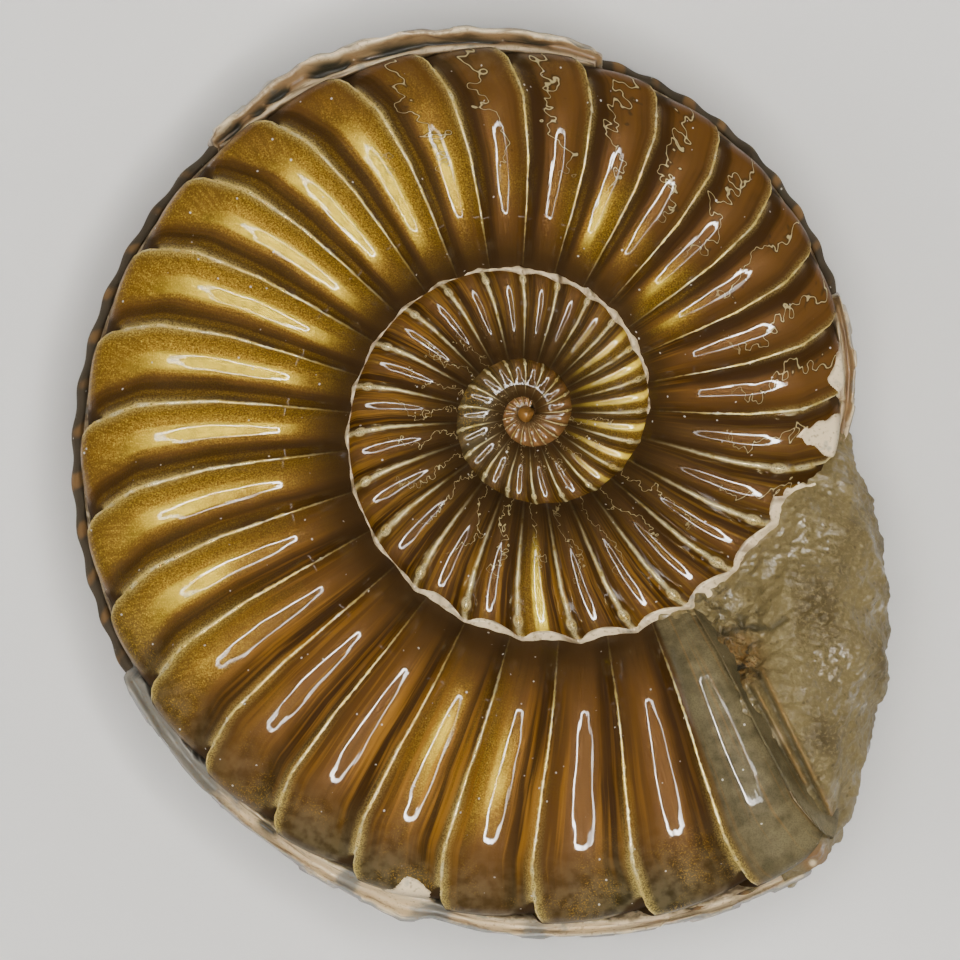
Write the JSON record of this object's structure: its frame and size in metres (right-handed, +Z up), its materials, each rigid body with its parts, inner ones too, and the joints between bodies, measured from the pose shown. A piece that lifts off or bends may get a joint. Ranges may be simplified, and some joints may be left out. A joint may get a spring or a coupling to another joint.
{
  "type": "ammonite fossil",
  "caption": "Pyritised ammonite lying on its flank: a coiled, ribbed, keeled shell in gold and bronze, with a lump of grey-olive matrix in its mouth.",
  "frame": {"origin": "centre of the bounding box in x and y, on the surface that the fossil lies on", "axes": "+Z up, within 3 degrees of the coiling axis; +Y towards the top of the picture; +X to its right, the side of the mouth's matrix"},
  "size_m": [0.041, 0.0452, 0.013],
  "materials": {
    "pyrite": "polished",
    "matrix_stone": "satin"
  },
  "bodies": {
    "root": {"ammonite": "pyrite", "matrix": "matrix_stone"}
  },
  "joints": []
}
